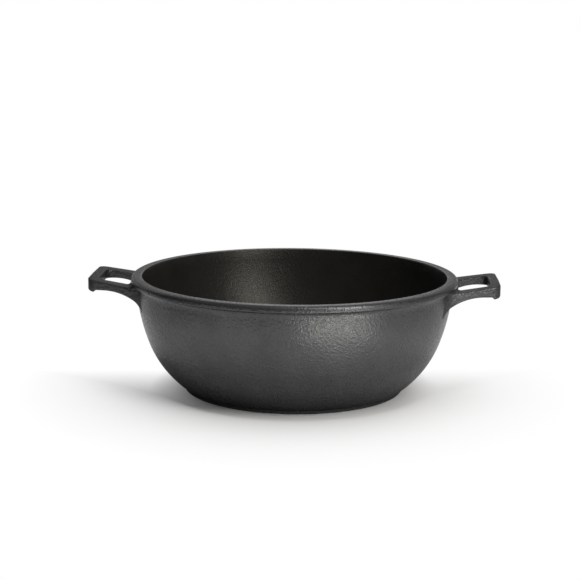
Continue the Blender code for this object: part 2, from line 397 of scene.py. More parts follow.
class Effects:
    """Node groups that several finishes share."""

    # Layers are a noise's detail and roughness. A range becomes a mask from 0 to 1.
    LUMP_SCALE = 0.5
    LUMP_LAYERS = (1.0, 1.0)
    FINE_SCALE = 2.9
    FINE_LAYERS = (1.0, 0.5)
    CELL_SCALE = 1.15
    FINE_SHARE = 0.08
    CELL_SHARE = -0.25
    PIT_RANGE = (0.28, 0.64)
    CLOUD_SCALE = 38.0
    CLOUD_LAYERS = (3.0, 0.55)
    TONE_RANGE = (0.35, 0.65)
    RUB_SCALE = 16.0
    RUB_LAYERS = (5.0, 0.6)
    RUB_RANGE = (0.48, 0.68)
    SPECK_RANGE = (0.05, 0.13)
    BROAD_RINGS = 0.09

    def __init__(self) -> None:
        """Build the groups."""
        self.grain = self.make_grain()
        self.handling = self.make_handling()
        self.turning = self.make_turning()

    @classmethod
    def make_grain(cls) -> bpy.types.ShaderNodeTree:
        """The sand grain that the mould leaves in the metal, still seen through a coat.

        Returns:
            A group with the grain's height and two masks.
        """
        tree, board, size, put = group("cast_grain", "Grains per metre", 800.0,
                                       ("Height", "Pits", "Clouds"))
        place = board.place()
        lumps = board.noise(place, board.math("MULTIPLY", size, cls.LUMP_SCALE),
                            *cls.LUMP_LAYERS)
        fine = board.noise(place, board.math("MULTIPLY", size, cls.FINE_SCALE),
                           *cls.FINE_LAYERS)
        cells = board.add("TexVoronoi", feature="SMOOTH_F1", Vector=place)
        board.feed(cells, "Scale", board.math("MULTIPLY", size, cls.CELL_SCALE))
        height = board.math("MULTIPLY_ADD", fine, cls.FINE_SHARE, lumps)
        height = board.math("MULTIPLY_ADD", cells.outputs["Distance"], cls.CELL_SHARE, height)
        clouds = board.noise(place, cls.CLOUD_SCALE, *cls.CLOUD_LAYERS)
        board.feed(put, "Height", height)
        board.feed(put, "Pits", board.spread(height, *cls.PIT_RANGE, 0.0, 1.0))
        board.feed(put, "Clouds", board.spread(clouds, *cls.TONE_RANGE, 0.0, 1.0))
        return tree

    @classmethod
    def make_handling(cls) -> bpy.types.ShaderNodeTree:
        """Faint marks of use: rubbed grain and a few fine specks of dust.

        Returns:
            A group with a mask for each.
        """
        tree, board, size, put = group("handling", "Specks per metre", 420.0,
                                       ("Rubbed", "Specks"))
        place = board.place()
        rubbed = board.noise(place, cls.RUB_SCALE, *cls.RUB_LAYERS)
        specks = board.add("TexVoronoi", feature="F1", Vector=place)
        board.feed(specks, "Scale", size)
        board.feed(put, "Rubbed", board.spread(rubbed, *cls.RUB_RANGE, 0.0, 1.0))
        board.feed(put, "Specks", board.spread(specks.outputs["Distance"], *cls.SPECK_RANGE,
                                               1.0, 0.0))
        return tree

    @classmethod
    def make_turning(cls) -> bpy.types.ShaderNodeTree:
        """Fine rings that a lathe leaves, about the pan's middle.

        Returns:
            A group with the rings' height and a broad mask of tone.
        """
        tree, board, size, put = group("turned_rings", "Rings per metre", 2400.0,
                                       ("Height", "Tone"))
        parts = board.add("SeparateXYZ", Vector=board.place())
        ring = board.add("CombineXYZ")
        board.feed(ring, 0, board.math("MULTIPLY", board.radius(parts), size))
        fine = board.add("TexNoise", Vector=ring.outputs[0], Scale=1.0, Detail=3.0)
        broad = board.add("TexNoise", Vector=ring.outputs[0], Scale=cls.BROAD_RINGS, Detail=2.0)
        board.feed(put, "Height", fine.outputs[0])
        board.feed(put, "Tone", board.spread(broad.outputs[0], *cls.TONE_RANGE, 0.0, 1.0))
        return tree


@dataclass(frozen=True)
class Finish:
    """What every finish has: its name and a start of its material."""

    name: str

    def blank(self) -> tuple[bpy.types.Material, Board, bpy.types.Node]:
        """Start a material.

        Returns:
            The material, its board and its shader, wired to the output.
        """
        material = bpy.data.materials.new(self.name)
        material.use_nodes = True
        board = Board(material.node_tree)
        shader = board.add("BsdfPrincipled")
        out = board.add("OutputMaterial")
        board.feed(out, "Surface", shader.outputs[0])
        return material, board, shader

    @staticmethod
    def use(board: Board, tree: bpy.types.ShaderNodeTree, **values: float) -> bpy.types.Node:
        """Place a shared group in a material.

        Args:
            board: The material's board.
            tree: The group.
            values: Its inputs, with underscores for spaces.

        Returns:
            The group's node.
        """
        node = board.add("Group", node_tree=tree)
        for key, value in values.items():
            board.feed(node, key.replace("_", " "), value)
        return node


@dataclass(frozen=True)
class CastCoat(Finish):
    """Dark coat on sand-cast metal: the grain shows through, with slightly glossier peaks."""

    dark: Triple = (0.083, 0.084, 0.087)
    light: Triple = (0.098, 0.099, 0.102)
    rubbed: Triple = (0.13, 0.13, 0.132)
    rubbed_share: float = 0.30
    dust: Triple = (0.16, 0.16, 0.155)
    dust_share: float = 0.10
    cloud_share: float = 0.12
    metallic: float = 0.70
    gloss: float = 0.5
    tint: Triple = (0.80, 0.80, 0.80)
    rough_low: float = 0.24
    rough_high: float = 0.40
    grains: float = 800.0
    grain_depth: float = 0.00050
    grain_strength: float = 0.8

    def build(self, effects: Effects) -> bpy.types.Material:
        """Make the material.

        Args:
            effects: The shared groups.

        Returns:
            The material.
        """
        material, board, shader = self.blank()
        grain = self.use(board, effects.grain, Grains_per_metre=self.grains)
        marks = self.use(board, effects.handling)
        tone = board.blend(grain.outputs["Clouds"], (*self.dark, 1), (*self.light, 1))
        worn = board.math("MULTIPLY", marks.outputs["Rubbed"], grain.outputs["Pits"])
        tone = board.blend(board.math("MULTIPLY", worn, self.rubbed_share), tone,
                           (*self.rubbed, 1))
        specks = board.math("MULTIPLY", marks.outputs["Specks"], self.dust_share)
        tone = board.blend(specks, tone, (*self.dust, 1))
        peaks = board.math("MULTIPLY_ADD", grain.outputs["Clouds"], self.cloud_share,
                           board.math("MULTIPLY", grain.outputs["Pits"], 1 - self.cloud_share))
        shader.inputs["Metallic"].default_value = self.metallic
        shader.inputs["Specular IOR Level"].default_value = self.gloss
        shader.inputs["Specular Tint"].default_value = (*self.tint, 1)
        board.feed(shader, "Base Color", tone)
        board.feed(shader, "Roughness",
                   board.spread(peaks, 0.0, 1.0, self.rough_high, self.rough_low))
        bump = board.add("Bump", Height=grain.outputs["Height"], Strength=self.grain_strength,
                         Distance=self.grain_depth)
        board.feed(shader, "Normal", bump.outputs[0])
        return material


@dataclass(frozen=True)
class TurnedMetal(Finish):
    """Bare metal with fine rings from the lathe."""

    dark: Triple = (0.33, 0.33, 0.34)
    light: Triple = (0.47, 0.47, 0.48)
    rough_low: float = 0.26
    rough_high: float = 0.42
    rings: float = 2400.0
    ring_depth: float = 0.00006
    ring_strength: float = 0.35

    def build(self, effects: Effects) -> bpy.types.Material:
        """Make the material.

        Args:
            effects: The shared groups.

        Returns:
            The material.
        """
        material, board, shader = self.blank()
        rings = self.use(board, effects.turning, Rings_per_metre=self.rings)
        marks = self.use(board, effects.handling)
        tone = board.blend(rings.outputs["Tone"], (*self.dark, 1), (*self.light, 1))
        shader.inputs["Metallic"].default_value = 1.0
        board.feed(shader, "Base Color", tone)
        board.feed(shader, "Roughness", board.spread(marks.outputs["Rubbed"], 0.0, 1.0,
                                                     self.rough_low, self.rough_high))
        bump = board.add("Bump", Height=rings.outputs["Height"], Strength=self.ring_strength,
                         Distance=self.ring_depth)
        board.feed(shader, "Normal", bump.outputs[0])
        return material


@dataclass(frozen=True)
class Finishes:
    """Every material of the pan."""

    coat: bpy.types.Material
    handle_coat: bpy.types.Material
    lining: bpy.types.Material
    land: bpy.types.Material
    steel: bpy.types.Material
    stud: bpy.types.Material

    @classmethod
    def make(cls) -> "Finishes":
        """Build the shared groups and all materials.

        Returns:
            The set.
        """
        effects = Effects()
        return cls(
            coat=CastCoat("dark_cast_coat").build(effects),
            # The handles get the cast coat with a darker reflection tint: painted shade that makes
            # them darker than the bowl.
            handle_coat=CastCoat("dark_handle_coat", tint=(0.30, 0.30, 0.30),
                                 grain_depth=0.0008).build(effects),
            lining=CastCoat("dark_lining", dark=(0.0112, 0.0109, 0.0105),
                            light=(0.0150, 0.0146, 0.0140), rubbed=(0.021, 0.020, 0.019),
                            metallic=0.0, gloss=0.38, tint=(1.0, 0.95, 0.86),
                            rough_low=0.27, rough_high=0.38, grains=1500.0,
                            grain_depth=0.00030).build(effects),
            land=TurnedMetal("turned_land", dark=(0.30, 0.30, 0.31), light=(0.40, 0.40, 0.41),
                             rings=1300.0).build(effects),
            steel=TurnedMetal("turned_steel").build(effects),
            stud=TurnedMetal("stud_metal", dark=(0.42, 0.42, 0.43), light=(0.55, 0.55, 0.56),
                             rings=1300.0).build(effects))


# ---- The pan's shape


@dataclass(frozen=True)
class WallLine:
    """The wall's outer face in the (radius, height) plane: two arcs that run into each other."""

    top: Vector = field(default_factory=lambda: Vector((0.1357, 0.09085)))
    bottom: Vector = field(default_factory=lambda: Vector((0.0956, 0.0030)))
    top_lean: float = math.radians(2.9)
    foot_lean: float = math.radians(54.0)

    def arcs(self) -> list[tuple[Vector, float, float, float]]:
        """The upper and the lower arc.

        Returns:
            Centre, radius, lean at the top and lean at the foot of each.
        """
        leave = Vector((-math.sin(self.top_lean), -math.cos(self.top_lean)))
        arrive = Vector((-math.sin(self.foot_lean), -math.cos(self.foot_lean)))
        span = self.bottom - self.top
        along = span.dot(leave + arrive)
        turn = 2 * (1 - leave.dot(arrive))
        reach = (math.sqrt(along * along + turn * span.dot(span)) - along) / turn
        chord = (self.bottom - reach * arrive) - (self.top + reach * leave)
        middle = math.atan2(-chord.x, -chord.y)
        upper = reach / math.tan((middle - self.top_lean) / 2)
        lower = reach / math.tan((self.foot_lean - middle) / 2)
        return [(polar(self.top, -upper, -self.top_lean), upper, self.top_lean, middle),
                (polar(self.bottom, -lower, -self.foot_lean), lower, middle, self.foot_lean)]

    def radius(self, height: float) -> float:
        """Radius of the outer face at a height.

        Args:
            height: A height between the foot and the band.

        Returns:
            The radius there.
        """
        for centre, radius, _, foot_lean in self.arcs():
            if height >= centre.y - radius * math.sin(foot_lean):
                break
        return centre.x + math.sqrt(radius * radius - (height - centre.y) ** 2)


@dataclass
class Bowl:
    """The casting: floor, round wall, rim with its band, foot and the seat of the plate."""

    rim_radius: float
    height: float
    wall: WallLine = field(default_factory=WallLine)
    rim_width: float = 0.0093
    rim_outer_round: float = 0.0031
    rim_inner_round: float = 0.0011
    band_height: float = 0.0056
    band_lower_round: float = 0.0010
    cove_drop: float = 0.0072
    cove_reach: float = 0.0036
    wall_thickness: float = 0.0056
    floor_thickness: float = 0.0070
    floor_fillet: float = 0.030
    foot_radius: float = 0.0945
    foot_height: float = 0.0030
    foot_round: float = 0.0008
    seat_radius: float = 0.0703
    seat_depth: float = 0.0013
    edge_break: float = 0.0003
    land_margin: float = 0.001
    level: float = 0.9
    smooth_angle: float = math.radians(40)
    seat_rings: tuple[float, ...] = (0.0, 0.02, 0.045)
    floor_rings: tuple[float, ...] = (0.06, 0.04, 0.02, 0.0)
    edge_steps: int = 2
    foot_steps: int = 5
    tuck_steps: int = 3
    lower_steps: int = 22
    upper_steps: int = 20
    inner_steps: int = 12
    fillet_steps: int = 14
    cove_steps: int = 12
    round_steps: int = 6
    rim_steps: int = 8
    steps: int = 288

    def under_line(self) -> list[Vector]:
        """The underside, from the middle of the plate's seat out to the top of the foot.

        Returns:
            Its points as (radius, height).
        """
        edge, seat, foot = self.edge_break, self.seat_radius, self.foot_radius
        line = [Vector((r, self.seat_depth)) for r in (*self.seat_rings, seat - edge)]
        line += arc(Vector((seat - edge, self.seat_depth - edge)), edge, QUARTER, 0.0,
                    self.edge_steps)
        line += arc(Vector((seat + edge, edge)), edge, math.pi, 3 * QUARTER, self.edge_steps)
        line.append(Vector(((seat + foot) / 2, 0.0)))
        line += arc(Vector((foot - self.foot_round, self.foot_round)), self.foot_round,
                    -QUARTER, 0.0, self.foot_steps)
        line += arc(Vector((foot + edge, self.foot_height - edge)), edge, math.pi, QUARTER,
                    self.tuck_steps)
        return line

    def outer_line(self) -> list[Vector]:
        """The outside, from the foot up the wall, round the cove and the band to the rim.

        Returns:
            Its points as (radius, height).
        """
        upper, lower = self.wall.arcs()
        line = []
        for part, count in ((lower, self.lower_steps), (upper, self.upper_steps)):
            centre, radius, top_lean, foot_lean = part
            line += arc(centre, radius, -foot_lean, -top_lean, count)
        under = self.height - self.band_height
        line = [point for point in line if point.y < under - self.cove_drop]
        leave = Vector((self.wall.radius(under - self.cove_drop), under - self.cove_drop))
        bend = Vector((leave.x + self.cove_drop * math.tan(self.wall.top_lean), under))
        meet = Vector((leave.x + self.cove_reach, under))
        for i in range(self.cove_steps + 1):
            share = i / self.cove_steps
            line.append(leave.lerp(bend, share).lerp(bend.lerp(meet, share), share))
        low, top = self.band_lower_round, self.rim_outer_round
        line += arc(Vector((self.rim_radius - low, under + low)), low, -QUARTER, 0.0,
                    self.round_steps)
        line += arc(Vector((self.rim_radius - top, self.height - top)), top, 0.0, QUARTER,
                    self.rim_steps)
        return line

    def inner_line(self) -> list[Vector]:
        """The inside, from the rim's flat down the wall to the middle of the floor.

        Returns:
            Its points as (radius, height).
        """
        upper, lower = self.wall.arcs()
        inner = self.rim_radius - self.rim_width
        edge = self.rim_inner_round
        line = arc(Vector((inner + edge, self.height - edge)), edge, QUARTER, math.pi,
                   self.round_steps)
        centre, radius, top_lean, foot_lean = upper
        line += arc(centre, radius - self.wall_thickness, -top_lean, -foot_lean,
                    self.upper_steps)
        centre, radius, top_lean, _ = lower
        radius -= self.wall_thickness
        fillet_height = self.floor_thickness + self.floor_fillet
        rise = centre.y - fillet_height
        side = math.sqrt((radius - self.floor_fillet) ** 2 - rise * rise)
        fillet = Vector((centre.x + side, fillet_height))
        meet = math.atan2(-rise, side)
        line += arc(centre, radius, -top_lean, meet, self.inner_steps)
        line += arc(fillet, self.floor_fillet, meet, -QUARTER, self.fillet_steps)
        line += [Vector((r, self.floor_thickness)) for r in self.floor_rings]
        return line

    def line(self) -> list[Vector]:
        """The whole outline of half a section, with no point twice.

        Returns:
            Its points as (radius, height).
        """
        points = self.under_line() + self.outer_line() + self.inner_line()
        kept = [points[0]]
        for point in points[1:]:
            if (point - kept[-1]).length > 2 * MERGE_DISTANCE:
                kept.append(point)
        return kept

    def build(self) -> bpy.types.Object:
        """Model the casting: a line drawn by extrusion, spun about the middle.

        Returns:
            The piece.
        """
        points = [Vector((point.x, 0.0, point.y)) for point in self.line()]
        piece = draw("bowl_casting", points)
        bpy.ops.mesh.spin(steps=self.steps, angle=math.tau, center=(0, 0, 0), axis=(0, 0, 1))
        close_up()
        settle(piece, self.smooth_angle)
        return piece

    def dress(self, piece: bpy.types.Object, finishes: Finishes) -> None:
        """Give the outside, the inside and the turned land their finishes, and seat the piece.

        Args:
            piece: The casting.
            finishes: The pan's materials.
        """
        for material in (finishes.coat, finishes.lining, finishes.land):
            piece.data.materials.append(material)
        inner = self.rim_radius - self.rim_width + self.rim_inner_round
        land_top = self.seat_depth + self.edge_break
        for face in piece.data.polygons:
            height = face.center.z
            radius = math.hypot(face.center.x, face.center.y)
            if height > self.floor_thickness / 2 and radius < inner and self.faces_in(face):
                face.material_index = Skin.LINING.value
            elif height < land_top and radius < self.foot_radius - self.land_margin:
                face.material_index = Skin.LAND.value
        on_frame(piece, ("bowl",))

    def faces_in(self, face: bpy.types.MeshPolygon) -> bool:
        """Whether a face looks up or towards the pan's middle."""
        outwards = face.center.x * face.normal.x + face.center.y * face.normal.y
        return outwards < 0.0 or face.normal.z > self.level


@dataclass
class BasePlate:
    """The perforated steel plate in the base and the studs of the casting that hold it."""

    radius: float = 0.070
    thickness: float = 0.0010
    hole_radius: float = 0.0022
    stud_gap: float = 0.0003
    pitch: float = 0.0148
    rings: int = 4
    ring_growth: int = 6
    seat_depth: float = 0.0013
    edge_break: float = 0.0002
    edge_steps: int = 2
    plate_sides: int = 192
    post_sides: int = 28

    def places(self) -> list[Vector]:
        """Centres of the holes: one in the middle and rings of six, twelve and so on.

        Returns:
            The centres, the middle one first.
        """
        spots = [Vector((0.0, 0.0, 0.0))]
        for ring in range(1, self.rings + 1):
            count = self.ring_growth * ring
            for i in range(count):
                angle = math.tau * i / count
                spots.append(ring * self.pitch * Vector((math.cos(angle), math.sin(angle), 0.0)))
        return spots

    def break_edges(self) -> None:
        """Bevel every edge of the piece that was begun last."""
        bpy.ops.object.mode_set(mode="EDIT")
        bpy.ops.mesh.select_all(action="SELECT")
        bpy.ops.mesh.bevel(offset=self.edge_break, segments=self.edge_steps, affect="EDGES")
        bpy.ops.object.mode_set(mode="OBJECT")

    def posts(self, name: str, radius: float, low: float, high: float) -> bpy.types.Object:
        """A round post at every hole, modelled once and copied.

        Args:
            name: Name of the joined posts.
            radius: Radius of each.
            low: Height of their lower ends.
            high: Height of their upper ends.

        Returns:
            All posts as one object.
        """
        first = begin(name, bpy.ops.mesh.primitive_cylinder_add, vertices=self.post_sides,
                      radius=radius, depth=high - low, location=(0.0, 0.0, (low + high) / 2))
        self.break_edges()
        copies = []
        for spot in self.places()[1:]:
            copy = first.copy()
            copy.data = first.data.copy()
            copy.location = first.location + spot
            bpy.context.scene.collection.objects.link(copy)
            copies.append(copy)
        join(first, copies)
        return first

    def build_plate(self) -> bpy.types.Object:
        """Model the plate: a disc with a broken edge, drilled.

        Returns:
            The piece.
        """
        drills = self.posts("plate_drills", self.hole_radius, -self.thickness, 2 * self.thickness)
        plate = begin("steel_plate", bpy.ops.mesh.primitive_cylinder_add,
                      vertices=self.plate_sides, radius=self.radius, depth=self.thickness,
                      location=(0.0, 0.0, self.thickness / 2))
        self.break_edges()
        cut = plate.modifiers.new("drill", "BOOLEAN")
        cut.operation = "DIFFERENCE"
        cut.solver = "MANIFOLD"
        cut.object = drills
        bpy.ops.object.modifier_apply(modifier=cut.name)
        bpy.data.objects.remove(drills, do_unlink=True)
        settle(plate, SMOOTH_METAL)
        return plate

    def build_studs(self) -> bpy.types.Object:
        """Model the studs that fill the holes, up into the casting.

        Returns:
            The piece.
        """
        studs = self.posts("base_studs", self.hole_radius - self.stud_gap, 0.0,
                           self.seat_depth + self.thickness)
        settle(studs, SMOOTH_METAL)
        return studs

    def dress(self, plate: bpy.types.Object, studs: bpy.types.Object, finishes: Finishes) -> None:
        """Give the plate and the studs their metals, and seat them.

        Args:
            plate: The plate.
            studs: The studs.
            finishes: The pan's materials.
        """
        for piece, metal in ((plate, finishes.steel), (studs, finishes.stud)):
            piece.data.materials.clear()
            piece.data.materials.append(metal)
        on_frame(plate, ("induction_plate",))
        on_frame(studs)


@dataclass
class Handle:
    """A cast loop handle: two arms, a bar with a lip under it, and roots that run into the wall."""

    rim_radius: float
    bowl_height: float
    tip: float
    wall: WallLine = field(default_factory=WallLine)
    bow: float = 0.0006
    root_half_width: float = 0.0380
    tip_half_width: float = 0.0329
    corner: float = 0.0085
    grip_half_width: float = 0.0234
    grip_corner: float = 0.0050
    bar_width: float = 0.0082
    lip_width: float = 0.0056
    lip_ramp: float = 0.0024
    lip_drop: float = 0.0019
    lip_round: float = 0.0030
    top_drop: float = 0.0070
    top_rise: float = 0.168
    arm_thickness: float = 0.0072
    arm_flat: float = 0.0150
    under_radius: float = 0.047
    under_turn: float = math.radians(50)
    edge_round: float = 0.0012
    outer_flare: float = 0.0070
    inner_flare: float = 0.0016
    top_flare: float = 0.0044
    under_flare: float = 0.0020
    band_bite: float = 0.0003
    buried: float = 0.0020
    web_stand: float = 0.0005
    web_round: float = 0.0009
    web_depth: float = 0.0065
    web_steps: int = 24
    flare_steps: int = 10
    arm_steps: int = 18
    bend_steps: int = 14
    bar_steps: int = 10
    round_steps: int = 5
    flat_steps: int = 4
    root_tries: int = 12
    smooth_angle: float = math.radians(60)

    def top(self, x: float) -> float:
        """Height of the top face at a distance from the middle of the pan."""
        return self.bowl_height - self.top_drop + self.top_rise * (x - self.rim_radius)

    def under(self, x: float) -> float:
        """Height of the underside: the lip, a flat, an arc down to the wall and a slope.

        Args:
            x: Distance from the middle of the pan.

        Returns:
            The height.
        """
        flat_start = self.tip - self.arm_flat
        level = self.top(flat_start) - self.arm_thickness
        inward = max(0.0, flat_start - x)
        bent = min(inward, self.under_radius * math.sin(self.under_turn))
        drop = self.under_radius - math.sqrt(self.under_radius ** 2 - bent ** 2)
        slope = (inward - bent) * math.tan(self.under_turn)
        lip = smooth_share((x - self.tip + self.lip_width + self.lip_ramp) / self.lip_ramp)
        return level - drop - slope - self.lip_drop * lip

    def outer_y(self, x: float) -> float:
        """Half width of an arm's outer side at a distance from the middle of the pan."""
        taper = (self.root_half_width - self.tip_half_width) / (self.tip - self.rim_radius)
        return self.root_half_width - taper * (x - self.rim_radius)

    def bends(self) -> tuple[list[Vector], list[Vector]]:
        """Plan of the corner between an arm and the bar.

        Returns:
            Points of its inner side and as many of its outer side, from the arm to the bar.
        """
        inner_corner = Vector((self.tip - self.bar_width, self.grip_half_width))
        inner_centre = inner_corner - Vector((self.grip_corner, self.grip_corner))
        inner = arc(inner_centre, self.grip_corner, QUARTER, 0.0, self.bend_steps)
        corner = Vector((self.tip - self.bow, self.tip_half_width))
        back = (Vector((self.rim_radius, self.root_half_width)) - corner).normalized()
        onward = (Vector((self.tip, 0.0)) - corner).normalized()
        half = back.angle(onward) / 2
        centre = corner + (back + onward).normalized() * (self.corner / math.sin(half))
        start = corner + back * (self.corner / math.tan(half)) - centre
        first = math.atan2(start.y, start.x)
        turn = math.pi - 2 * half
        outer = arc(centre, self.corner, first, first - turn, self.bend_steps)
        return inner, outer

    def turns(self) -> list[float]:
        """Angles of the points round an edge, both ends included."""
        return [i * QUARTER / self.round_steps for i in range(self.round_steps + 1)]

    def marks(self, low_round: float) -> list[Mark]:
        """The points round a section, inner side down, along the bottom, up and back.

        Args:
            low_round: Radius of the lower outer edge.

        Returns:
            For each point its share of the width, its offset across in metres, its share of the
            height and its offset in height.
        """
        edge, turns = self.edge_round, self.turns()
        flats = [i / self.flat_steps for i in range(1, self.flat_steps)]
        points = [(0.0, edge * (1 - math.cos(a)), 0.0, edge * (1 - math.sin(a))) for a in turns]
        points += [(f, edge * (1 - f) - low_round * f, 0.0, 0.0) for f in flats]
        points += [(1.0, -low_round * (1 - math.sin(a)), 0.0, low_round * (1 - math.cos(a)))
                   for a in turns]
        points += [(1.0, 0.0, f, low_round * (1 - f) - edge * f) for f in flats]
        points += [(1.0, -edge * (1 - math.cos(a)), 1.0, -edge * (1 - math.sin(a)))
                   for a in turns]
        points += [(1.0 - f, -edge * (1 - f) + edge * f, 1.0, 0.0) for f in flats]
        points += [(0.0, edge * (1 - math.sin(a)), 1.0, -edge * (1 - math.cos(a)))
                   for a in turns]
        points += [(0.0, 0.0, 1.0 - f, -edge * (1 - f) + edge * f) for f in flats]
        return points

    def section(self, inner: Vector, outer: Vector) -> list[Vector]:
        """Closed section between a point of the inner side and one of the outer side.

        Args:
            inner: Plan point of the inner side.
            outer: Plan point of the outer side.

        Returns:
            Its points in space.
        """
        across = outer - inner
        share = smooth_share((outer.x - self.tip + self.bar_width) / self.bar_width)
        low_round = self.edge_round + share * (self.lip_round - self.edge_round)
        points = []
        for wide, shift, tall, rise in self.marks(low_round):
            plan = inner + across * wide + across.normalized() * shift
            low, high = self.under(plan.x), self.top(plan.x)
            points.append(Vector((plan.x, plan.y, low + (high - low) * tall + rise)))
        return points

    def on_arm(self, mark: Mark, x: float) -> Vector:
        """Place of a section's point on an arm.

        Args:
            mark: The section's point.
            x: Distance from the middle of the pan.

        Returns:
            The point in space.
        """
        wide, shift, tall, rise = mark
        inner, outer = self.grip_half_width, self.outer_y(x)
        low, high = self.under(x), self.top(x)
        return Vector((x, inner + (outer - inner) * wide + shift, low + (high - low) * tall + rise))

    def facing(self) -> list[Vector]:
        """Direction in (y, z) that each point of an arm's section faces.

        Returns:
            The directions, in the order of the points.
        """
        angles = []
        for corner in range(4):
            start = math.pi + corner * QUARTER
            angles += [start + turn for turn in self.turns()]
            angles += [start + QUARTER] * (self.flat_steps - 1)
        return [Vector((math.cos(angle), math.sin(angle))) for angle in angles]

    def flare(self, face: Vector) -> float:
        """Radius of the fillet at the root.

        Args:
            face: Where the section's point faces.

        Returns:
            The radius for that point.
        """
        sideways = self.outer_flare if face.x > 0 else self.inner_flare
        upright = self.top_flare if face.y > 0 else self.under_flare
        return sideways * face.x ** 2 + upright * face.y ** 2

    def root_point(self, mark: Mark, face: Vector, turn: float, sink: float = 0.0) -> Vector:
        """A point of the fillet between an arm and the wall or the band.

        Args:
            mark: The section's point that the fillet starts from.
            face: Where that point faces.
            turn: 0 where the fillet leaves the arm, a quarter turn where it meets the wall.
            sink: How far the point lies inside the wall.

        Returns:
            The point in space.
        """
        radius = self.flare(face)
        grow = radius * (1 - math.cos(turn))
        away = radius * (1 - math.sin(turn)) - sink
        to_band = max(0.0, face.y) ** 2
        x = self.rim_radius
        for _ in range(self.root_tries):
            point = self.on_arm(mark, x)
            y, z = point.y + face.x * grow, point.z + face.y * grow
            wall = self.wall.radius(min(z, self.wall.top.y))
            base = wall + (self.rim_radius - self.band_bite - wall) * to_band
            x = math.sqrt((base + away) ** 2 - y * y)
        return Vector((x, y, z))

    def rings(self) -> list[list[Vector]]:
        """All sections of the handle's +Y half, from inside the wall to the bar's middle.

        Returns:
            The sections, each a closed ring of points.
        """
        inner_bend, outer_bend = self.bends()
        marks = self.marks(self.edge_round)
        faces = self.facing()
        rings = [[self.root_point(m, f, QUARTER, self.buried) for m, f in zip(marks, faces)]]
        for i in range(self.flare_steps + 1):
            turn = QUARTER * (1 - i / self.flare_steps)
            rings.append([self.root_point(m, f, turn) for m, f in zip(marks, faces)])
        starts = [point.x for point in rings[-1]]
        for i in range(1, self.arm_steps):
            share = i / self.arm_steps
            ring = []
            for mark, start in zip(marks, starts):
                end = inner_bend[0].x + (outer_bend[0].x - inner_bend[0].x) * mark[0]
                ring.append(self.on_arm(mark, start + (end - start) * share))
            rings.append(ring)
        rings += [self.section(i, o) for i, o in zip(inner_bend, outer_bend)]
        inner_end = Vector((self.tip - self.bar_width, 0.0))
        outer_end = Vector((self.tip, 0.0))
        for i in range(1, self.bar_steps + 1):
            share = i / self.bar_steps
            rings.append(self.section(inner_bend[-1].lerp(inner_end, share),
                                      outer_bend[-1].lerp(outer_end, share)))
        return rings

    def web_line(self) -> list[Vector]:
        """Closed section of the web that ends the finger opening under the band.

        Returns:
            Its points as (radius, height).
        """
        out = self.rim_radius + self.web_stand
        inner = out - self.web_depth
        edge = self.web_round
        high = self.top(self.rim_radius) + 2 * edge
        low = self.under(out)
        line = [Vector((inner, high)), Vector((inner, self.under(inner) - edge))]
        line += arc(Vector((out - edge, low + edge)), edge, -QUARTER, 0.0, self.round_steps)
        line += arc(Vector((out - edge, high - edge)), edge, 0.0, QUARTER, self.round_steps)
        return line

    def build_web(self, side: Side) -> bpy.types.Object:
        """Model the web: its section is drawn by extrusion, filled and spun between the arms.

        Args:
            side: The side of the pan that it stands on.

        Returns:
            The piece.
        """
        half = math.asin((self.grip_half_width + self.edge_round) / self.rim_radius)
        out = side.value * Vector((math.cos(half), math.sin(half)))
        web = draw("web", [Vector((out.x * p.x, out.y * p.x, p.y)) for p in self.web_line()])
        bpy.ops.mesh.edge_face_add()
        bpy.ops.mesh.spin(steps=self.web_steps, angle=2 * half, center=(0, 0, 0), axis=(0, 0, 1))
        close_up()
        return web

    def build(self, side: Side) -> bpy.types.Object:
        """Model a handle: a grid wrapped round the loop, closed along its seam and at its ends.

        Args:
            side: The side of the pan that it stands on.

        Returns:
            The piece.
        """
        half = self.rings()
        other = [[Vector((p.x, -p.y, p.z)) for p in ring] for ring in reversed(half[:-1])]
        rings = half + other
        around = len(rings[0])
        name = f"{side.name.lower()}_handle_casting"
        piece = begin(name, bpy.ops.mesh.primitive_grid_add, x_subdivisions=around,
                      y_subdivisions=len(rings) - 1, size=1.0)
        spots = [point for ring in rings for point in ring + ring[:1]]
        for vertex, spot in zip(piece.data.vertices, spots):
            vertex.co = Vector((side.value * spot.x, side.value * spot.y, spot.z))
        bpy.ops.object.mode_set(mode="EDIT")
        bpy.ops.mesh.select_all(action="SELECT")
        bpy.ops.mesh.remove_doubles(threshold=MERGE_DISTANCE)
        bpy.ops.mesh.select_all(action="DESELECT")
        bpy.ops.mesh.select_non_manifold(extend=False)
        bpy.ops.mesh.fill_holes(sides=0)
        close_up()
        join(piece, [self.build_web(side)])
        settle(piece, self.smooth_angle)
        return piece

    def dress(self, piece: bpy.types.Object, side: Side, finishes: Finishes) -> None:
        """Give a handle the cast coat painted darker for shade, and seat it.

        Args:
            piece: The handle.
            side: The side of the pan that it stands on.
            finishes: The pan's materials.
        """
        piece.data.materials.append(finishes.handle_coat)
        on_frame(piece, (f"{side.name.lower()}_handle",))


# ---- The studio


@dataclass(frozen=True)
class Lamp:
    """A softbox that looks at a point."""

    name: str
    place: Triple
    aim: Triple
    width: float
    height: float
    power: float
    mirrored: bool = True
    color: Triple = WHITE

    def build(self) -> None:
        """Put the lamp in the scene."""
        light = bpy.data.lights.new(self.name, "AREA")
        light.shape = "RECTANGLE"
        light.size = self.width
        light.size_y = self.height
        light.energy = self.power
        light.color = self.color
        lamp = bpy.data.objects.new(self.name, light)
        lamp.location = self.place
        lamp.visible_glossy = self.mirrored
        lamp.rotation_euler = (Vector(self.aim) - lamp.location).to_track_quat("-Z", "Y").to_euler()
        bpy.context.scene.collection.objects.link(lamp)


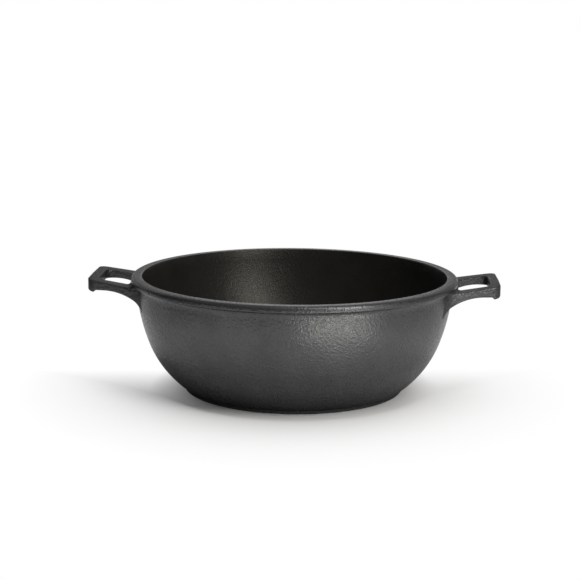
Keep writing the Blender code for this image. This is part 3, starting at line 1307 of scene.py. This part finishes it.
@dataclass(frozen=True)
class Card:
    """A card of an even tone that is only seen in reflections."""

    name: str
    place: Triple
    turn: float
    width: float
    height: float
    tone: float = 0.02
    tilt: float = QUARTER
    color: Triple = WHITE

    def build(self) -> None:
        """Put the card in its place, upright or at its tilt."""
        card = begin(self.name, bpy.ops.mesh.primitive_plane_add, size=1.0, location=self.place,
                     rotation=(self.tilt, 0.0, self.turn))
        card.scale = (self.width, self.height, 1.0)
        settle(card, SMOOTH_METAL)
        card.visible_camera = card.visible_diffuse = card.visible_shadow = False
        material = bpy.data.materials.new(self.name)
        material.use_nodes = True
        board = Board(material.node_tree)
        even = board.add("Emission", Color=(*self.color, 1), Strength=self.tone)
        board.feed(board.add("OutputMaterial"), "Surface", even.outputs[0])
        card.data.materials.append(material)


@dataclass(frozen=True)
class Camera:
    """The photograph's camera, as fitted to the rim, the foot and the handles."""

    place: Triple = (0.05647, -1.24872, 0.32810)
    heading: float = -0.04823
    pitch: float = 0.19253
    roll: float = 0.00968
    lens: float = 91.606
    sensor: float = 36.0
    clip: tuple[float, float] = (0.05, 200.0)

    def build(self) -> None:
        """Put the camera in the scene and make it the scene's own."""
        data = bpy.data.cameras.new("photo_camera")
        data.lens = self.lens
        data.sensor_width = self.sensor
        data.clip_start, data.clip_end = self.clip
        ahead = Vector((math.sin(self.heading) * math.cos(self.pitch),
                        math.cos(self.heading) * math.cos(self.pitch), -math.sin(self.pitch)))
        level = Vector((math.cos(self.heading), -math.sin(self.heading), 0.0))
        upright = level.cross(ahead)
        right = math.cos(self.roll) * level + math.sin(self.roll) * upright
        up = -math.sin(self.roll) * level + math.cos(self.roll) * upright
        camera = bpy.data.objects.new("photo_camera", data)
        turn = Matrix((right, up, -ahead)).transposed().to_4x4()
        camera.matrix_world = Matrix.Translation(Vector(self.place)) @ turn
        bpy.context.scene.collection.objects.link(camera)
        bpy.context.scene.camera = camera


@dataclass(frozen=True)
class Studio:
    """Floor, world, lamps, cards and camera."""

    floor_size: float = 60.0
    floor_tone: float = 0.80
    floor_bounce: float = 0.06
    fade_near: float = 0.112
    fade_far: float = 0.240
    fade_bend: float = 0.48
    back_near: float = -0.070
    back_far: float = 0.055
    back_tilt: float = -0.10
    # A painted contact shadow: near the pan the floor is darker in reflections.
    contact_shade_near: float = 0.093
    contact_shade_far: float = 0.125
    contact_shade_tone: float = 0.25
    mirror_shift: float = 0.04
    fill: float = 0.25
    lamps: tuple[Lamp, ...] = (
        Lamp("top_softbox", (0.10, 0.35, 1.55), (0.0, 0.0, 0.05), 1.4, 1.0, 9.0, False),
        Lamp("high_softbox", (0.46, -0.62, 1.20), (0.0, 0.0, 0.07), 0.35, 0.60, 4.0, True,
             (1.0, 0.985, 0.95)),
        Lamp("key_softbox", (0.656, -0.755, 0.50), (0.0, 0.0, 0.07), 0.27, 0.84, 6.5, True,
             (1.0, 0.985, 0.95)),
    )
    cards: tuple[Card, ...] = (
        Card("front_card", (0.0, -2.1, 1.2), 0.0, 4.2, 2.4, 0.09),
        Card("left_card", (-1.9, -0.3, 1.2), QUARTER, 3.6, 2.4, 0.05),
        Card("right_card", (1.9, 0.0, 1.3), QUARTER, 4.2, 2.2, 0.04),
        Card("ceiling_card", (0.0, 0.0, 2.4), 0.0, 4.2, 4.2, 0.15, 0.0),
        Card("back_card", (-0.06, 2.0, 0.85), 0.0, 0.44, 1.3, 1.0),
        Card("back_left_card", (-1.19, 2.0, 0.85), 0.0, 1.82, 1.3, 0.25),
        Card("back_right_card", (1.13, 2.0, 0.85), 0.0, 1.94, 1.3, 0.25),
        Card("low_front_card", (-0.21, -0.5, 0.05), 0.0, 0.62, 0.1),
        Card("low_left_card", (-0.52, -0.19, 0.05), QUARTER, 0.62, 0.1),
        Card("low_right_card", (0.52, -0.025, 0.05), QUARTER, 0.35, 0.1),
        Card("left_table", (-0.42, -0.05, 0.002), 0.0, 0.36, 0.6, 0.68, 0.0),
        Card("right_table", (0.44, -0.05, 0.002), 0.0, 0.36, 0.6, 0.70, 0.0),
        Card("table_gloss", (0.126, -0.258, 0.003), -0.977, 0.08, 0.17, 6.2, 0.0,
             (1.0, 0.98, 0.91)),
    )

    def build(self) -> None:
        """Put the whole studio in the scene."""
        scene = bpy.context.scene
        scene.view_settings.view_transform = "Standard"
        for item in (*self.lamps, *self.cards):
            item.build()
        self.build_world()
        self.build_floor()
        Camera().build()

    def build_world(self) -> None:
        """A plain fill light, with white behind the pan and in what it reflects."""
        world = bpy.data.worlds.new("studio_world")
        bpy.context.scene.world = world
        world.use_nodes = True
        board = Board(world.node_tree)
        fill = board.add("Background", Color=(*WHITE, 1), Strength=self.fill)
        white = board.add("Background", Color=(*WHITE, 1), Strength=1.0)
        both = board.mix(board.looked_at(board.add("LightPath")), fill, white)
        board.feed(board.add("OutputWorld"), "Surface", both.outputs[0])

    def build_floor(self) -> None:
        """A pale floor that keeps the pan's shadow, carries a painted shadow round the pan in what
        the pan reflects, and fades to white away from it.
        """
        floor = begin("floor", bpy.ops.mesh.primitive_plane_add, size=self.floor_size)
        material = bpy.data.materials.new("pale_floor")
        material.use_nodes = True
        board = Board(material.node_tree)
        path = board.add("LightPath")
        direct = path.outputs["Is Camera Ray"]
        parts = board.add("SeparateXYZ", Vector=board.place())
        distance = board.radius(parts)
        # In reflections the fade to white starts further out, which widens the painted shadow round
        # the pan.
        mirrored = board.math("SUBTRACT", 1.0, direct)
        far = board.spread(board.math("MULTIPLY_ADD", mirrored, -self.mirror_shift, distance),
                           self.fade_near, self.fade_far, 0.0, 1.0)
        behind = board.spread(
            board.math("MULTIPLY_ADD", parts.outputs[0], self.back_tilt, parts.outputs[1]),
            self.back_near, self.back_far, 0.0, 1.0)
        # Painted contact shadow: the floor's tone falls near the pan for reflected rays, and the
        # camera sees the floor without it.
        painted_contact_shade = board.spread(distance, self.contact_shade_near, self.contact_shade_far,
                               self.contact_shade_tone, 1.0)
        behind = board.math("MULTIPLY", board.math("MULTIPLY", behind, painted_contact_shade), direct)
        fade = board.math("MAXIMUM", board.math("POWER", far, self.fade_bend), behind)
        tone = board.math("MULTIPLY", self.floor_tone, board.math("MAXIMUM", painted_contact_shade, direct))
        pale = board.add("BsdfDiffuse", Color=tone)
        white = board.add("Emission", Color=(*WHITE, 1), Strength=1.0)
        dull = board.add("BsdfDiffuse", Color=(self.floor_bounce,) * 3 + (1,))
        both = board.mix(board.looked_at(path), dull, board.mix(fade, pale, white))
        board.feed(board.add("OutputMaterial"), "Surface", both.outputs[0])
        floor.data.materials.append(material)


def main() -> None:
    """Load the frame, model and dress each piece, and light the pan."""
    logging.basicConfig(level=logging.INFO, format="%(name)s %(message)s")
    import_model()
    _, bowl_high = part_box("bowl")
    _, handle_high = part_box("right_handle")
    finishes = Finishes.make()
    bowl = Bowl(rim_radius=bowl_high.x, height=bowl_high.z)
    bowl.dress(bowl.build(), finishes)
    base = BasePlate()
    base.dress(base.build_plate(), base.build_studs(), finishes)
    handle = Handle(rim_radius=bowl_high.x, bowl_height=bowl_high.z, tip=handle_high.x)
    for side in Side:
        handle.dress(handle.build(side), side, finishes)
    Studio().build()


if __name__ == "__main__":
    main()
